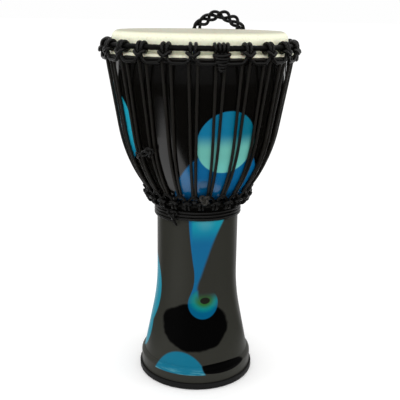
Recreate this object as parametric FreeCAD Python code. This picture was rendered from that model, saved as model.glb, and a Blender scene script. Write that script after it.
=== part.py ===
"""Rope-tuned goblet drum: a one-piece moulded shell, a skin held by two rings, and a cage of rope.

Millimetres, +Z up, the origin at the centre of the foot's underside, the front towards -Y.
Angles about the drum are in degrees from the front, growing towards +X.
"""
import FreeCAD, Part
import math
import os

Vector = FreeCAD.Vector
ORIGIN = Vector(0, 0, 0)
UP = Vector(0, 0, 1)
TANGENT = Vector(0, 1, 0)      # along the rim, in the plane y = 0 where pieces are drawn

# ---- shell ------------------------------------------------------------------------------
HEIGHT = 635.0                 # floor to the playing surface
WALL = 5.0
RIM_R = 151.5                  # outer radius at the bearing edge
EDGE_R = 13.0                  # rounding of the bearing edge
EDGE_INNER_R = 3.0
RIM_BEAD = EDGE_R + EDGE_INNER_R + 1.0     # wall at the bearing edge
RIM_BEAD_HEIGHT = 22.0
RIM_SOFTENING_R = 120.0        # arc between the bowl's side and the upright rim
SIDE_ANGLE = 10.2              # lean of the bowl's side
BELLY_R = 253.0                # arc of the belly, seen from the side
BELLY_TOP = (RIM_R - 14.1, HEIGHT - 167.0)     # where the belly meets the straight side
THROAT_R = 32.0                # hollow arc between belly and neck
NECK_R = 74.4
FLARE_TOP_Z = 202.0
FLARE_R = 400.0
FLARE_ANGLE = 11.3
BAND_TOP_Z = 42.0              # moulded band above the foot
BAND_STEP = 6.04               # the band stands out this far from the flare
BAND_SHOULDER = 10.0
FOOT_LIP = 4.0                 # rubber under the shell
FOOT_HEIGHT = 12.0
FOOT_OVERHANG = 3.5
FOOT_INNER_LIP = 1.6

# ---- skin and rings ---------------------------------------------------------------------
SKIN = 0.8
ROPE_R = 2.5
CLEAR = 0.3                    # between pieces of different bodies
SLIVER = 0.1                   # between pieces of one body
RING_ROD_R = 3.3               # crown ring's steel rod
RING_WRAP = 1.2                # cloth wound on the crown ring
RING_DROP = 23.0               # playing surface to the crown ring's centre
HOOP_ROD_R = 3.3
FOLD = 1.2                     # skin turned round the flesh hoop, two layers and glue
TUNING_TRAVEL = 8.0
COLLAR_SPARE = 1.0

# ---- upper rope work --------------------------------------------------------------------
HITCHES = 24
HITCH_OFFSET = 11.5            # angle of the joining knot, which takes the place of one hitch
BAR_ANGLE = 55.0               # below the ring's outer side, where a hitch's bar crosses
BAR_BITE = 0.6                 # the bar presses this far into the turns under it
TURN_SPACING = 2 * ROPE_R + 3.0            # between a top hitch's two turns
BAR_LENGTH = TURN_SPACING + 3.0
LOOP_OUT = 1.3                 # loops hang this far outside the crown ring's outer side less a rope
LOOP_TOP_DROP = 4 * ROPE_R + 4.5           # below the crown ring's centre
LOOP_LOW_DROP = LOOP_TOP_DROP + 7.0
LOOP_START = 2.2               # angle from a hitch
KNOT_BARS = 6
KNOT_TURNS = 4
KNOT_TURN_SPACING = 2 * ROPE_R + 1.3
KNOT_TOP_WIDTH = 27.0
KNOT_LOW_WIDTH = 12.0
KNOT_STANDOFF = 2.5

# ---- tuning ropes -----------------------------------------------------------------------
LEG_TOP_DROP = LOOP_LOW_DROP + 1.5         # below the crown ring's centre
LEG_TOP_IN = 0.8               # inside the crown ring's centre line
LEG_LOW_RISE = 26.0            # above the lower ring's centre
LEG_TOP_SPREAD = 5.0           # angle from the middle of a loop
LEG_GAP_TO_SHELL = 0.45
GROUPS = ("front", "right", "back", "left")

# ---- lower rope work --------------------------------------------------------------------
LOW_SEAT_ANGLE = 36.9          # direction, from the throat arc's centre, in which the lower ring lies
LOW_SEAT_GAP = 0.6             # between its rope turns and the shell
LOW_ROD_R = 2.5
LOW_WRAP = 0.8
LOW_TURN_SPACING = 2 * (ROPE_R + SLIVER)
LOW_BAR_LENGTH = LOW_TURN_SPACING + 0.8
LOW_LOOP_START = 2.4
LOW_LOOP_ENDS = (7.65, 13.5)   # outside the belly, above the lower ring's centre
LOW_LOOP_CREST = (7.2, 20.0)
COILS = 3
COIL_DROP = 1.9                # throat arc's centre to the first coil
TIE_KNOT_ANGLE = -32.0         # knot that ends the neck coils, tied over the lowest
BOTTOM_KNOT_SHIFT = -5.0       # angle from the joining knot
BOTTOM_KNOT_RISE = 11.5        # above the lower ring's centre
KNOT_R = 5.5
TAIL_ANGLE = -41.5             # end of the tuning rope, woven over the legs
TAIL_DROPS = (36.0, 6.0)       # its two ends below the belly's top
TAIL_KNOT_R = 5.5

# ---- handle -----------------------------------------------------------------------------
HANDLE_HITCHES = (9, 12)       # its lashings sit between these two, counted from the joining knot
HANDLE_GAPS = (0.57, 5.1)      # from each lashing to its hitch
HANDLE_RISE = 48.0             # crown ring's centre to the middle of the braid's top
HANDLE_BEND_R = 33.0
BRAID_WIDTH = 16.0
BRAID_THICKNESS = 10.0
LEG_GAP = 3.0                  # room for the braid's feet to turn round their lashings
LASHING_TURNS = 2
LASHING_SPACING = 2 * (ROPE_R + SLIVER)

SHELL_TOP = HEIGHT - SKIN
COLLAR_R = RIM_R + SKIN
RING_SECTION = RING_ROD_R + RING_WRAP
TURN_R = RING_SECTION + ROPE_R + SLIVER
RING_R = COLLAR_R + CLEAR + TURN_R + ROPE_R
RING_Z = HEIGHT - RING_DROP
FOLD_SECTION = HOOP_ROD_R + CLEAR + FOLD
FOLD_R = COLLAR_R + CLEAR + FOLD_SECTION
FOLD_Z = RING_Z - TURN_R - ROPE_R - SLIVER - FOLD_SECTION
LOOP_R = RING_R + RING_SECTION - ROPE_R + LOOP_OUT
LOW_SECTION = LOW_ROD_R + LOW_WRAP
LOW_TURN_R = LOW_SECTION + ROPE_R + SLIVER
PITCH = 360.0 / HITCHES
LASHING_REACH = (TURN_SPACING + (LASHING_TURNS - 1) * LASHING_SPACING) / 2 + 2 * ROPE_R
HANDLE_FEET = (
    HITCH_OFFSET + HANDLE_HITCHES[0] * PITCH + math.degrees((LASHING_REACH + HANDLE_GAPS[0]) / RING_R),
    HITCH_OFFSET + HANDLE_HITCHES[1] * PITCH - math.degrees((LASHING_REACH + HANDLE_GAPS[1]) / RING_R),
)
HANDLE_ANGLE = sum(HANDLE_FEET) / 2
HANDLE_HALF_ANGLE = (HANDLE_FEET[1] - HANDLE_FEET[0]) / 2


def cosine(angle):
    return math.cos(math.radians(angle))


def sine(angle):
    return math.sin(math.radians(angle))


def spot(radius, height):
    """A point of a section drawn in the plane y = 0."""
    return Vector(radius, 0, height)


def around(shape, angle):
    """A copy of a piece drawn in the plane y = 0, turned to an angle about the drum."""
    turned = shape.copy()
    turned.rotate(ORIGIN, UP, angle - 90)
    return turned


def place(angle, radius, height):
    return Vector(radius * sine(angle), -radius * cosine(angle), height)


def line(start, end):
    return Part.makeLine(start, end)


def arc(centre, radius, first, last):
    """An arc in the plane y = 0, its angles measured from +X towards +Z."""
    points = [
        spot(centre[0] + radius * cosine(a), centre[1] + radius * sine(a))
        for a in (first, (first + last) / 2, last)
    ]
    return Part.Arc(*points).toShape()


def ends(edge):
    return edge.Vertexes[0].Point, edge.Vertexes[-1].Point


def chain(pieces):
    """Joins edges and single points, in order, into one closed wire of lines and arcs."""
    edges = []
    start = None
    last = None
    for piece in pieces:
        first, final = ends(piece) if isinstance(piece, Part.Shape) else (piece, piece)
        if start is None:
            start = first
        elif last.distanceToPoint(first) > 1e-6:
            edges.append(line(last, first))
        if isinstance(piece, Part.Shape):
            edges.append(piece)
        last = final
    edges.append(line(last, start))
    return Part.Wire(edges)


def turned(pieces):
    """A body of revolution about the drum's axis."""
    return Part.Face(chain(pieces)).revolve(ORIGIN, UP, 360)


def ring(radius, height, section):
    return Part.makeTorus(radius, section, spot(0, height), UP)


def ring_sleeve(radius, height, outer, inner):
    return ring(radius, height, outer).cut(ring(radius, height, inner))


def bowl_centres():
    """Centres of the rim's softening arc, the belly's arc and the throat's arc."""
    side = (cosine(SIDE_ANGLE), -sine(SIDE_ANGLE))
    belly = (BELLY_TOP[0] - BELLY_R * side[0], BELLY_TOP[1] - BELLY_R * side[1])
    throat_r = NECK_R + THROAT_R
    reach = BELLY_R + THROAT_R
    throat = (throat_r, belly[1] - math.sqrt(reach**2 - (throat_r - belly[0]) ** 2))
    rim_r = RIM_R - RIM_SOFTENING_R
    rise = (RIM_SOFTENING_R + side[0] * (rim_r - BELLY_TOP[0])) / -side[1]
    return (rim_r, BELLY_TOP[1] + rise), belly, throat


RIM_CENTRE, BELLY_CENTRE, THROAT_CENTRE = bowl_centres()
THROAT_ANGLE = math.degrees(
    math.atan2(BELLY_CENTRE[1] - THROAT_CENTRE[1], THROAT_CENTRE[0] - BELLY_CENTRE[0])
)


def flare_radius(offset, height):
    """Radius of the straight flare of the stem, a given distance outside the shell's outer face."""
    reach = FLARE_R - offset
    end_r = NECK_R + FLARE_R - reach * cosine(FLARE_ANGLE)
    end_z = FLARE_TOP_Z - reach * sine(FLARE_ANGLE)
    return end_r + (end_z - height) * math.tan(math.radians(FLARE_ANGLE))


def belly_radius(height):
    """Outer radius of the shell on the belly's arc."""
    return BELLY_CENTRE[0] + math.sqrt(BELLY_R**2 - (BELLY_CENTRE[1] - height) ** 2)


BAND_R = flare_radius(0, BAND_TOP_Z) + BAND_STEP
LOW_SEAT = THROAT_R - LOW_TURN_R - ROPE_R - LOW_SEAT_GAP
LOW_RING_R = THROAT_CENTRE[0] - LOW_SEAT * cosine(LOW_SEAT_ANGLE)
LOW_RING_Z = THROAT_CENTRE[1] + LOW_SEAT * sine(LOW_SEAT_ANGLE)
LEG_LOW_Z = LOW_RING_Z + LEG_LOW_RISE
COIL_TOP_Z = THROAT_CENTRE[1] - COIL_DROP


def wall(offset):
    """The shell's side from flare to rim, as arcs that lie offset outside its outer face."""
    return [
        arc((NECK_R + FLARE_R, FLARE_TOP_Z), FLARE_R - offset, 180 + FLARE_ANGLE, 180),
        arc(THROAT_CENTRE, THROAT_R - offset, 180, 180 - THROAT_ANGLE),
        arc(BELLY_CENTRE, BELLY_R + offset, -THROAT_ANGLE, -SIDE_ANGLE),
        arc(RIM_CENTRE, RIM_SOFTENING_R + offset, -SIDE_ANGLE, 0),
    ]


def reversed_arcs(edges):
    return [Part.Arc(*[e.valueAt(p) for p in (e.LastParameter, sum(e.ParameterRange) / 2,
                                              e.FirstParameter)]).toShape() for e in reversed(edges)]


def edge_arc(radius):
    return arc((RIM_R - EDGE_R, SHELL_TOP - EDGE_R), radius, 0, 90)


def drum_shell():
    bead_r = RIM_R - RIM_BEAD
    bead_low = SHELL_TOP - RIM_BEAD_HEIGHT
    band_step_r = flare_radius(0, BAND_TOP_Z)
    shoulder = Part.Arc(
        spot(BAND_R, BAND_TOP_Z - BAND_SHOULDER),
        spot((band_step_r + 2 * BAND_R) / 3, BAND_TOP_Z - BAND_SHOULDER / 3),
        spot(band_step_r, BAND_TOP_Z),
    ).toShape()
    outline = [spot(BAND_R, FOOT_LIP), shoulder]
    outline += wall(0)
    outline += [edge_arc(EDGE_R)]
    outline += [arc((bead_r + EDGE_INNER_R, SHELL_TOP - EDGE_INNER_R), EDGE_INNER_R, 90, 180)]
    outline += [spot(bead_r, bead_low), spot(RIM_R - WALL, bead_low - RIM_BEAD)]
    outline += reversed_arcs(wall(-WALL))
    outline += [spot(flare_radius(-WALL, FOOT_LIP), FOOT_LIP)]
    return turned(outline)


def foot_ring():
    """Rubber edging pushed onto the shell's lower end, with a lip on both sides."""
    inner = flare_radius(-WALL, FOOT_LIP)
    outer = BAND_R + FOOT_OVERHANG
    lip_top = inner - (FOOT_HEIGHT - FOOT_LIP) * math.tan(math.radians(FLARE_ANGLE))
    return turned([
        spot(inner - FOOT_INNER_LIP - FOOT_OVERHANG / 2, 0),
        arc((outer - FOOT_OVERHANG, FOOT_OVERHANG), FOOT_OVERHANG, -90, 0),
        arc((outer - FOOT_OVERHANG / 2, FOOT_HEIGHT - FOOT_OVERHANG / 2), FOOT_OVERHANG / 2, 0, 90),
        spot(BAND_R, FOOT_HEIGHT),
        spot(BAND_R, FOOT_LIP),
        spot(inner, FOOT_LIP),
        spot(lip_top, FOOT_HEIGHT),
        spot(lip_top - FOOT_INNER_LIP - FOOT_OVERHANG / 2, FOOT_HEIGHT),
    ])


def drum_skin():
    low = FOLD_Z - TUNING_TRAVEL - COLLAR_SPARE
    return turned([
        spot(0, SHELL_TOP),
        spot(RIM_R - EDGE_R, SHELL_TOP),
        reversed_arcs([edge_arc(EDGE_R)])[0],
        spot(RIM_R, low),
        spot(COLLAR_R, low),
        edge_arc(EDGE_R + SKIN),
        spot(0, HEIGHT),
    ])


def capsule(start, end, radius):
    along = end - start
    body = Part.makeCylinder(radius, along.Length, start, along)
    return body.fuse([Part.makeSphere(radius, start), Part.makeSphere(radius, end)])


def rope_turns(ring_r, ring_z, turn_r, spacing, count=2):
    """Turns of rope side by side round a ring's rod, centred on the plane y = 0."""
    step = math.degrees(spacing / ring_r)
    one = Part.makeTorus(turn_r, ROPE_R, spot(ring_r, ring_z), TANGENT)
    return [around(one, 90 + (k - (count - 1) / 2) * step) for k in range(count)]


def hitch(ring_r, ring_z, turn_r, spacing, bar_angle, bar_length, turns=2):
    """A cow hitch: turns of rope side by side round a ring's rod, and the bar across them."""
    pieces = rope_turns(ring_r, ring_z, turn_r, spacing, turns)
    reach = turn_r + 2 * ROPE_R - BAR_BITE
    middle = spot(ring_r + reach * cosine(bar_angle), ring_z + reach * sine(bar_angle))
    half = TANGENT * (bar_length / 2)
    bar = capsule(middle - half, middle + half, ROPE_R)
    return bar.fuse(pieces)


def tube(path):
    """Rope along a wire."""
    first = path.Edges[0]
    start = first.valueAt(first.FirstParameter)
    section = Part.Wire(Part.makeCircle(ROPE_R, start, first.tangentAt(first.FirstParameter)))
    return path.makePipeShell([section], True, False)


def loop(ends_at, crest_at, start_angle):
    """A bight of rope from one hitch to the next: an arc through its two ends and its crest."""
    first = place(start_angle, *ends_at)
    middle = place(PITCH / 2, *crest_at)
    last = place(PITCH - start_angle, *ends_at)
    return tube(Part.Wire(Part.Arc(first, middle, last).toShape()))


def all_round(shape, angles):
    return Part.makeCompound([around(shape, a) for a in angles])


def hitch_angles():
    return [HITCH_OFFSET + k * PITCH for k in range(1, HITCHES)]


def top_hitches():
    one = hitch(RING_R, RING_Z, TURN_R, TURN_SPACING, -BAR_ANGLE, BAR_LENGTH)
    return all_round(one, hitch_angles())


def top_loops():
    one = loop((LOOP_R, RING_Z - LOOP_TOP_DROP), (LOOP_R, RING_Z - LOOP_LOW_DROP), LOOP_START)
    return all_round(one, [90 + HITCH_OFFSET + k * PITCH for k in range(HITCHES)])


def joining_knot():
    """The two rope ends joined at the front: four turns on the ring over a tapering stack of turns."""
    bar_length = KNOT_TOP_WIDTH - 2 * ROPE_R
    turns = hitch(RING_R, RING_Z, TURN_R, KNOT_TURN_SPACING, -BAR_ANGLE, bar_length, KNOT_TURNS)
    step = 2 * ROPE_R - BAR_BITE
    reach = TURN_R + 2 * ROPE_R - BAR_BITE
    first_z = RING_Z - reach * sine(BAR_ANGLE)
    first_r = RING_R + reach * cosine(BAR_ANGLE)
    bars = []
    for k in range(1, KNOT_BARS):
        share = k / (KNOT_BARS - 1)
        half = (KNOT_TOP_WIDTH + (KNOT_LOW_WIDTH - KNOT_TOP_WIDTH) * share) / 2 - ROPE_R
        middle = spot(first_r + KNOT_STANDOFF * sine(180 * share), first_z - k * step)
        bars.append(capsule(middle - TANGENT * half, middle + TANGENT * half, ROPE_R))
    return around(turns.fuse(bars), HITCH_OFFSET)


def tangent_angle(point, centre, radius):
    """Angle on a circle where a tight rope from a point above and outside first touches it."""
    out = point[0] - centre[0]
    rise = point[1] - centre[1]
    return math.degrees(math.atan2(rise, out) - math.acos(radius / math.hypot(out, rise)))


def belly_path(offset, top, low_z):
    """A tight rope's line: straight from its top point, then bent over the belly to a height."""
    radius = BELLY_R + offset
    touch = tangent_angle(top, BELLY_CENTRE, radius)
    low = -math.degrees(math.asin((BELLY_CENTRE[1] - low_z) / radius))
    bend = arc(BELLY_CENTRE, radius, touch, low)
    return Part.Wire([line(spot(*top), ends(bend)[0]), bend])


def tuning_leg(side):
    """One leg of a pair: it leans so that legs of neighbouring loops close up at the bottom."""
    top = (RING_R - LEG_TOP_IN, RING_Z - LEG_TOP_DROP)
    path = belly_path(ROPE_R + LEG_GAP_TO_SHELL, top, LEG_LOW_Z)
    low_r = path.Vertexes[-1].X
    shift_top = LEG_TOP_SPREAD * math.radians(1) * top[0]
    low_spread = PITCH / 2 - math.degrees((ROPE_R + SLIVER) / low_r)
    shift_low = low_spread * math.radians(1) * low_r
    middle = (LEG_TOP_SPREAD * top[0] + low_spread * low_r) / (top[0] + low_r)
    middle_z = (top[1] + LEG_LOW_Z) / 2
    plumb = math.radians(middle)
    lean = math.degrees(math.atan(
        (shift_low - plumb * low_r - shift_top + plumb * top[0]) / (top[1] - LEG_LOW_Z)))
    leg = tube(path)
    leg.rotate(spot(0, middle_z), Vector(1, 0, 0), side * lean)
    return around(leg, 90 + side * middle)


def tuning_ropes(group):
    """The legs under a quarter of the loops."""
    share = HITCHES // len(GROUPS)
    first = HITCH_OFFSET + PITCH / 2 - (share // 2) * PITCH
    legs = [tuning_leg(-1), tuning_leg(1)]
    angles = [90 + first + (group * share + k) * PITCH for k in range(share)]
    return Part.makeCompound([around(leg, a) for a in angles for leg in legs])


def bottom_hitches():
    one = hitch(LOW_RING_R, LOW_RING_Z, LOW_TURN_R, LOW_TURN_SPACING, BAR_ANGLE, LOW_BAR_LENGTH)
    return all_round(one, [HITCH_OFFSET + (k + 0.5) * PITCH for k in range(HITCHES)])


def low_loop_point(offset):
    """Radius and height of a point given by its distance outside the belly and above the lower ring."""
    height = LOW_RING_Z + offset[1]
    return belly_radius(height) + offset[0], height


def bottom_loops():
    one = loop(low_loop_point(LOW_LOOP_ENDS), low_loop_point(LOW_LOOP_CREST), LOW_LOOP_START)
    return all_round(one, [90 + HITCH_OFFSET + (k + 0.5) * PITCH for k in range(HITCHES)])


def knot(angle, surface_r, height):
    """A round knot that rests against a surface of a given radius."""
    return around(Part.makeSphere(KNOT_R, spot(surface_r + KNOT_R, height)), angle)


def woven_tail():
    """The tuning rope's end: one more strand over the legs, finished with a knot."""
    offset = 3 * ROPE_R + 2 * LEG_GAP_TO_SHELL
    touch = BELLY_R + offset
    heights = [BELLY_TOP[1] - drop for drop in TAIL_DROPS]
    angles = [-math.degrees(math.asin((BELLY_CENTRE[1] - z) / touch)) for z in heights]
    bend = arc(BELLY_CENTRE, touch, angles[1], angles[0])
    end = ends(bend)[1]
    outward = TAIL_KNOT_R - ROPE_R
    ball = Part.makeSphere(TAIL_KNOT_R, end + spot(outward * cosine(angles[0]), outward * sine(angles[0])))
    return around(tube(Part.Wire(bend)).fuse(ball), TAIL_ANGLE)


def handle_braid():
    """A stiff braided arch over the crown ring, upright on the chord between its two lashings."""
    half = RING_R * sine(HANDLE_HALF_ANGLE)
    depth = RING_R * cosine(HANDLE_HALF_ANGLE)
    foot_z = RING_Z + TURN_R + ROPE_R + LEG_GAP
    top_z = RING_Z + HANDLE_RISE
    bend_y = half - HANDLE_BEND_R
    bend_z = top_z - HANDLE_BEND_R
    slant = HANDLE_BEND_R * math.sqrt(0.5)
    bends = [
        Part.Arc(
            Vector(depth, -half, bend_z),
            Vector(depth, -bend_y - slant, bend_z + slant),
            Vector(depth, -bend_y, top_z),
        ).toShape(),
        Part.Arc(
            Vector(depth, bend_y, top_z),
            Vector(depth, bend_y + slant, bend_z + slant),
            Vector(depth, half, bend_z),
        ).toShape(),
    ]
    path = Part.Wire([
        line(Vector(depth, -half, foot_z), Vector(depth, -half, bend_z)),
        bends[0],
        line(Vector(depth, -bend_y, top_z), Vector(depth, bend_y, top_z)),
        bends[1],
        line(Vector(depth, half, bend_z), Vector(depth, half, foot_z)),
    ])
    oval = Part.Ellipse(
        Vector(depth, -half + BRAID_WIDTH / 2, foot_z),
        Vector(depth - BRAID_THICKNESS / 2, -half, foot_z),
        Vector(depth, -half, foot_z),
    )
    arch = path.makePipeShell([Part.Wire(oval.toShape())], True, False)
    return around(arch, HANDLE_ANGLE)


def handle_lashing(side):
    turns = Part.makeCompound(rope_turns(RING_R, RING_Z, TURN_R, LASHING_SPACING, LASHING_TURNS))
    return around(turns, HANDLE_ANGLE + side * HANDLE_HALF_ANGLE)


def pieces():
    coil_r = NECK_R + SLIVER + ROPE_R
    yield "drum_shell", drum_shell()
    yield "foot_ring", foot_ring()
    yield "drum_skin", drum_skin()
    yield "skin_fold", ring_sleeve(FOLD_R, FOLD_Z, FOLD_SECTION, FOLD_SECTION - FOLD)
    yield "flesh_hoop", ring(FOLD_R, FOLD_Z, HOOP_ROD_R)
    yield "crown_ring", ring(RING_R, RING_Z, RING_ROD_R)
    yield "crown_ring_wrap", ring_sleeve(RING_R, RING_Z, RING_SECTION, RING_ROD_R + SLIVER)
    yield "top_hitches", top_hitches()
    yield "top_loops", top_loops()
    yield "joining_knot", joining_knot()
    for number, side in enumerate(GROUPS):
        yield "tuning_ropes_" + side, tuning_ropes(number)
    yield "woven_tail", woven_tail()
    yield "bottom_ring", ring(LOW_RING_R, LOW_RING_Z, LOW_ROD_R)
    yield "bottom_ring_wrap", ring_sleeve(LOW_RING_R, LOW_RING_Z, LOW_SECTION, LOW_ROD_R + SLIVER)
    yield "bottom_hitches", bottom_hitches()
    yield "bottom_loops", bottom_loops()
    knot_seat = low_loop_point(LOW_LOOP_ENDS)[0] + ROPE_R + SLIVER
    yield "bottom_knot", knot(HITCH_OFFSET + BOTTOM_KNOT_SHIFT, knot_seat, LOW_RING_Z + BOTTOM_KNOT_RISE)
    for number in range(COILS):
        height = COIL_TOP_Z - number * 2 * (ROPE_R + SLIVER)
        yield f"neck_coil_{number + 1}", ring(coil_r, height, ROPE_R)
    yield "neck_tie_knot", knot(TIE_KNOT_ANGLE, coil_r + ROPE_R + SLIVER, height)
    yield "handle_braid", handle_braid()
    yield "handle_lashing_left", handle_lashing(1)
    yield "handle_lashing_right", handle_lashing(-1)


os.makedirs("parts", exist_ok=True)
for name, shape in pieces():
    if not shape.isValid():
        raise ValueError(name + " is not a valid shape")
    shape.exportStep(f"parts/{name}.step")
    print(f"{name}: {len(shape.Solids)} solids, {shape.Volume:.0f} mm3")
print(f"handle hinge at {place(HANDLE_ANGLE, RING_R * cosine(HANDLE_HALF_ANGLE), RING_Z)}")
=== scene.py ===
# %% [markdown]
# # A rope-tuned goblet drum
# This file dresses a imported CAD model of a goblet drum. The CAD model holds every size and joint.
# Here each rope, knot, skin and finish is made as the real maker would see it, in the same place.
# The frame is loaded first, because every later cell takes its sizes from it.

# %% Load the frame
import math
import bmesh
import bpy
import numpy as np
from mathutils import Matrix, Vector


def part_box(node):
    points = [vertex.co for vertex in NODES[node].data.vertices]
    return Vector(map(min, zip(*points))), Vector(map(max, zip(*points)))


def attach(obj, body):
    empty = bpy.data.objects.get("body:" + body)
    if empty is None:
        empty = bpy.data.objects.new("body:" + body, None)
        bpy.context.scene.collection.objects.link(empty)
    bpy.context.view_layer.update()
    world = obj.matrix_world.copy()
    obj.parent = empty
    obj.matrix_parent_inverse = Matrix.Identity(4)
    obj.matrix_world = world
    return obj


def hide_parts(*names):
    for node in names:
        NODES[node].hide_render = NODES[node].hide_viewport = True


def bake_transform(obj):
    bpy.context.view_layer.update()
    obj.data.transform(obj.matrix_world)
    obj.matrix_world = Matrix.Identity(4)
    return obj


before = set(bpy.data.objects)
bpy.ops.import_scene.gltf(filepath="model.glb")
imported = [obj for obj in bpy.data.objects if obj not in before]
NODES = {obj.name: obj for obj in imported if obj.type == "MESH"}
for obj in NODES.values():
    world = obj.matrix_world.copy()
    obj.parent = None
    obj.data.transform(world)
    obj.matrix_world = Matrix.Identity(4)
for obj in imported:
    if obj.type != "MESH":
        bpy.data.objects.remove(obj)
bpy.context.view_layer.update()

# %% [markdown]
# ## Sizes read from the frame
# A ring's box gives its radius, its height and the thickness of its rod, so nothing is measured twice.
# Angles about the drum start at the front, which faces -Y, and grow towards +X.

# %% Rings and rope
MM = 0.001


def ring_size(node):
    """Centre-line radius, centre height and rod radius of a ring: half of what its box says."""
    low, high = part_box(node)
    rod = (high.z - low.z) / 2
    return high.x - rod, (high.z + low.z) / 2, rod


CROWN_R, CROWN_Z, CROWN_ROD = ring_size("crown_ring_wrap")
LOW_R, LOW_Z, LOW_ROD = ring_size("bottom_ring_wrap")
FOLD_R, FOLD_Z, FOLD_ROD = ring_size("skin_fold")
ROPE = ring_size("neck_coil_1")[2]
TOP_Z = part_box("drum_skin")[1].z
RIM_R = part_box("drum_skin")[1].x
NECK_R = ring_size("neck_coil_1")[0] - ROPE
HITCHES = 24
PITCH = 360 / HITCHES
KNOT_AT = 11.5                    # angle of the joining knot, in degrees
print(f"crown ring {CROWN_R * 1000:.1f} mm at {CROWN_Z * 1000:.0f} mm, rope {ROPE * 2000:.1f} mm thick")

# %% [markdown]
# ## The camera
# A camera is part of the design of a picture, so it is set before the pieces. It stands a little above
# the skin, two drum heights away, looks down by fifteen degrees and is tipped by under a degree.

# %% Camera
CAMERA_PLACE = (0.0, -1.216, 0.663)
LOOK_DOWN = math.radians(15.3)
LOOK_RIGHT = math.radians(0.2)
TIPPED = math.radians(0.86)
LENS = 61.4                       # focal length in millimetres

camera_data = bpy.data.cameras.new("camera")
camera_data.lens = LENS
camera = bpy.data.objects.new("camera", camera_data)
bpy.context.scene.collection.objects.link(camera)


def turn(axis, angle):
    """A 4 by 4 matrix that turns about one axis."""
    c, s = math.cos(angle), math.sin(angle)
    i, j = {"X": (1, 2), "Y": (2, 0), "Z": (0, 1)}[axis]
    matrix = np.eye(4)
    matrix[i, i], matrix[j, j] = c, c
    matrix[i, j], matrix[j, i] = -s, s
    return matrix


aim = turn("Z", -LOOK_RIGHT) @ turn("X", math.pi / 2 - LOOK_DOWN) @ turn("Z", TIPPED)
aim[:3, 3] = CAMERA_PLACE
camera.matrix_world = Matrix(aim.tolist())
bpy.context.scene.camera = camera

# %% [markdown]
# ## Floor, card and light
# Black gloss shows its surroundings more than itself. The floor is pale and glows a little, so that it stays
# white. The light is soft. A dark card lies on the floor in front and at the sides, shaped as part of a
# ring. Only reflections see it. It keeps the bowl black, and a bite out of it leaves a grey sheen.

# %% Stage
def plain_material(name, colour, roughness, glow=0.0):
    """One colour all over, with no gloss."""
    material = bpy.data.materials.new(name)
    material.use_nodes = True
    shader = material.node_tree.nodes["Principled BSDF"]
    shader.inputs["Base Color"].default_value = (*colour, 1)
    shader.inputs["Roughness"].default_value = roughness
    shader.inputs["Specular IOR Level"].default_value = 0.0
    shader.inputs["Emission Color"].default_value = (1, 1, 1, 1)
    shader.inputs["Emission Strength"].default_value = glow
    return material


def card(name, corners, material):
    """A flat four-cornered stage piece."""
    mesh = bpy.data.meshes.new(name)
    mesh.from_pydata(corners, [], [(0, 1, 2, 3)])
    mesh.materials.append(material)
    piece = bpy.data.objects.new(name, mesh)
    bpy.context.scene.collection.objects.link(piece)


FLOOR = 60.0                      # half of the floor's side, in metres
FLOOR_GLOW = 0.1
card("floor", [(-FLOOR, -FLOOR, 0), (FLOOR, -FLOOR, 0), (FLOOR, FLOOR, 0), (-FLOOR, FLOOR, 0)],
     plain_material("pale floor", (0.97, 0.97, 0.968), 0.8, FLOOR_GLOW))

# %% Dark card
CARD_INNER = 0.24                 # radius where the dark card begins, about the drum's axis
CARD_OUTER = 55.0
CARD_LIFT = 0.004                 # height above the floor
CARD_HALF = math.radians(130)     # it spans this angle on both sides of the front
CARD_SIDES = 90
BITE_DEEP = 0.9                   # how much farther out the card begins at the middle of its bite
BITE_AT = -50                     # degrees from the front, so on the left
BITE_HALF = 39
sweep = np.linspace(-CARD_HALF, CARD_HALF, CARD_SIDES)
bite = np.clip(1 - np.abs(np.degrees(sweep) - BITE_AT) / BITE_HALF, 0, 1)
begins = CARD_INNER + BITE_DEEP * bite * bite * (3 - 2 * bite)
inner = np.stack([begins * np.sin(sweep), -begins * np.cos(sweep), np.full(CARD_SIDES, CARD_LIFT)], -1)
outer = inner * ((CARD_OUTER / begins)[:, None] * (1, 1, 0) + (0, 0, 1))
count = np.arange(CARD_SIDES - 1)
after = count + 1
ring_mesh = bpy.data.meshes.new("dark_card")
ring_mesh.from_pydata(np.vstack([inner, outer]).tolist(), [],
                      np.stack([count, count + CARD_SIDES, after + CARD_SIDES, after], -1).tolist())
ring_mesh.materials.append(plain_material("dark card", (0.004, 0.004, 0.003), 0.9))
dark_card = bpy.data.objects.new("dark_card", ring_mesh)
bpy.context.scene.collection.objects.link(dark_card)
dark_card.visible_camera = False
dark_card.visible_diffuse = False
dark_card.visible_shadow = False
dark_card.visible_transmission = False


# %% Soft lights
def soft_light(name, place, target, width, height, power, mirrored_in_gloss=False):
    """A softbox: an area light that faces a target. Its back, side and up are worked out as a frame."""
    data = bpy.data.lights.new(name, "AREA")
    data.shape = "RECTANGLE"
    data.size = width
    data.size_y = height
    data.energy = power
    lamp = bpy.data.objects.new(name, data)
    bpy.context.scene.collection.objects.link(lamp)
    lamp.visible_glossy = mirrored_in_gloss
    back = np.array(place, float) - np.array(target, float)
    back /= np.linalg.norm(back)
    side = np.cross((0, 0, 1), back) if abs(back[2]) < 0.99 else np.array((1.0, 0, 0))
    side /= np.linalg.norm(side)
    matrix = np.eye(4)
    matrix[:3, 0], matrix[:3, 1], matrix[:3, 2], matrix[:3, 3] = side, np.cross(back, side), back, place
    lamp.matrix_world = Matrix(matrix.tolist())


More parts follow.
